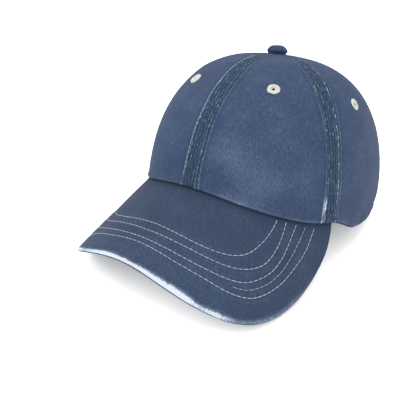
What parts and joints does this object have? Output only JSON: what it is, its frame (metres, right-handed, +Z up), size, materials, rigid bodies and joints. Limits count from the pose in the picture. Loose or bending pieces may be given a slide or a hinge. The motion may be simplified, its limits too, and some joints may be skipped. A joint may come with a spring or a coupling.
{
  "type": "baseball cap",
  "caption": "Denim baseball cap with six seamed panels, embroidered eyelets, a covered top button, a curved stitched visor and an adjustable buckled back strap.",
  "frame": {"origin": "centre of the head opening, in the plane of the rim and on the crown's axis", "axes": "Z up, the visor points along -Y, and +X is the wearer's left. The cap stands on a table on its visor and the back of its rim, so the crown's axis leans back from Z by 8.36 degrees"},
  "size_m": [0.167, 0.2593, 0.1318],
  "materials": {
    "denim": "washed mid-blue denim twill",
    "visor_denim": "washed mid-blue denim twill, worn almost white at the front edge",
    "eyelet_thread": "off-white embroidery thread",
    "seam_tape": "plain woven tape",
    "stiffener_net": "stiff open net",
    "sweatband_cotton": "cotton twill",
    "foam": "soft open foam",
    "label_satin": "white woven satin",
    "pressed_steel": "pressed steel",
    "board_plastic": "plain moulded board",
    "thread": "pale blue sewing thread",
    "buckle_metal": "antique plated metal"
  },
  "bodies": {
    "crown": {"buckle_base": "buckle_metal", "buckle_pin": "buckle_metal", "buckle_tab": "denim", "button_cap": "pressed_steel", "button_cover": "denim", "button_washer": "pressed_steel", "care_label": "label_satin", "crown_stitching": "thread", "eyelet_back_left": "eyelet_thread", "eyelet_back_right": "eyelet_thread", "eyelet_front_left": "eyelet_thread", "eyelet_front_right": "eyelet_thread", "eyelet_side_left": "eyelet_thread", "eyelet_side_right": "eyelet_thread", "front_stiffener_left": "stiffener_net", "front_stiffener_right": "stiffener_net", "opening_binding": "seam_tape", "panel_back_left": "denim", "panel_back_right": "denim", "panel_front_left": "denim", "panel_front_right": "denim", "panel_side_left": "denim", "panel_side_right": "denim", "rim_hem": "denim", "seam_tape_back_left": "seam_tape", "seam_tape_back_right": "seam_tape", "seam_tape_centre": "seam_tape", "seam_tape_side_left": "seam_tape", "seam_tape_side_right": "seam_tape", "sweatband": "sweatband_cotton", "sweatband_foam": "foam", "visor_board": "board_plastic", "visor_bottom_cover": "visor_denim", "visor_stitching": "thread", "visor_top_cover": "visor_denim"},
    "strap": {"adjuster_strap": "denim"},
    "lever": {"buckle_lever": "buckle_metal"}
  },
  "joints": [
    {"name": "strap_slide", "type": "hinge", "parent": "crown", "child": "strap", "pos_m": [0, 0.02421, -0.00356], "axis": [0, -0.1453, -0.9894], "range_deg": [-20, 20]},
    {"name": "buckle_lever_hinge", "type": "hinge", "parent": "crown", "child": "lever", "pos_m": [0.00275, 0.10421, -0.00015], "axis": [0, 0.1453, 0.9894], "range_deg": [0, 100]}
  ]
}
